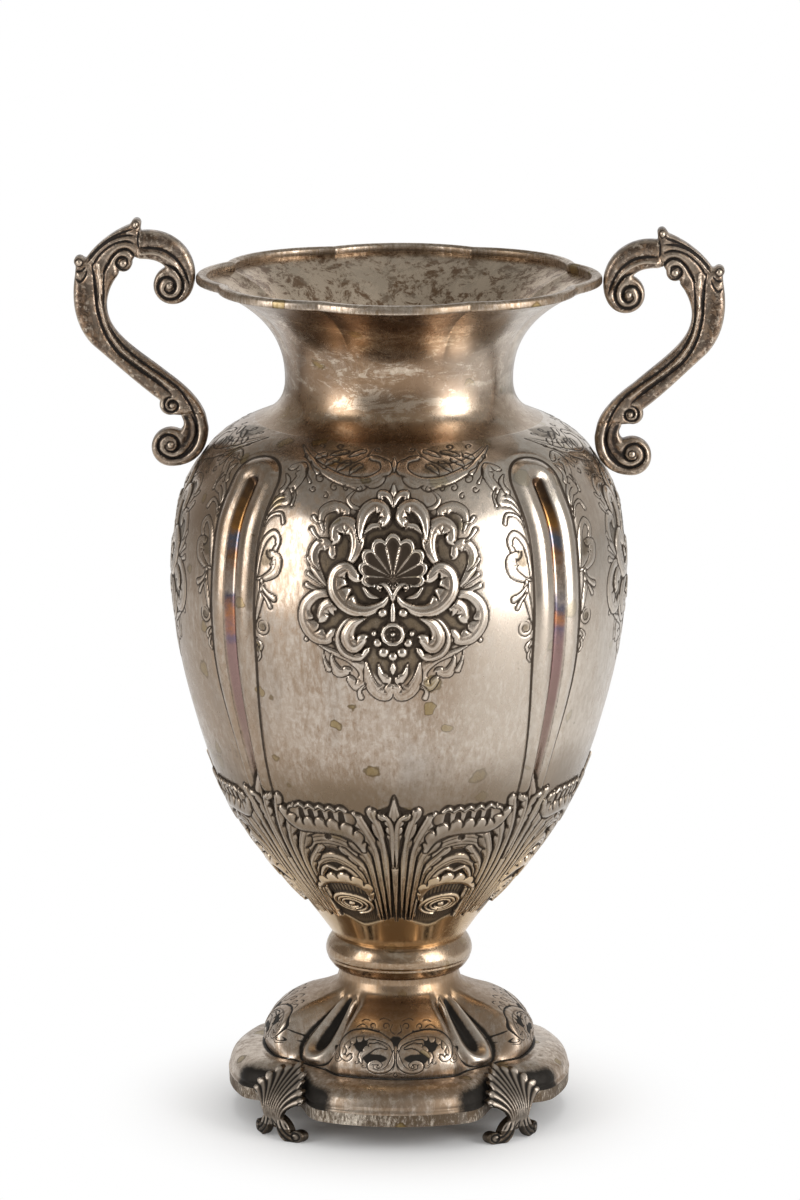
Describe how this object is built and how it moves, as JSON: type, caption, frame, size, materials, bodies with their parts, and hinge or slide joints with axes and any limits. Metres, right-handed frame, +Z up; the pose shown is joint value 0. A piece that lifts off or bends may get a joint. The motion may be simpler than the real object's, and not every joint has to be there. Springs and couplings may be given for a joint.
{
  "type": "silver vase",
  "caption": "Tall baluster flower vase in chased silver with a flared lobed mouth, scroll handles and a domed foot on leaf feet.",
  "frame": {"origin": "on the floor under the middle of the vase", "axes": "+Z up along the axis of the vase, +X towards the right handle, the panel seen in the picture faces -Y"},
  "size_m": [0.2904, 0.204, 0.4098],
  "materials": {
    "sheet_silver": "aged raised silver sheet, bright on the highs, warm brown tarnish and dark recesses",
    "wire_silver": "aged drawn silver moulding with dark tarnish in the step",
    "cast_silver": "aged cast silver, worn bright on the edges, dark brown tarnish between"
  },
  "bodies": {
    "root": {"body": "sheet_silver", "neck": "sheet_silver", "rim_wire": "wire_silver", "collar": "sheet_silver", "foot_dome": "sheet_silver", "plinth": "sheet_silver", "edge_band": "wire_silver", "foot_back_right": "cast_silver", "foot_back_left": "cast_silver", "foot_front_left": "cast_silver", "foot_front_right": "cast_silver", "handle_left_upper_scroll": "cast_silver", "handle_left_leaf": "cast_silver", "handle_left_stem": "cast_silver", "handle_left_lower_scroll": "cast_silver", "handle_right_upper_scroll": "cast_silver", "handle_right_leaf": "cast_silver", "handle_right_stem": "cast_silver", "handle_right_lower_scroll": "cast_silver"}
  },
  "joints": []
}
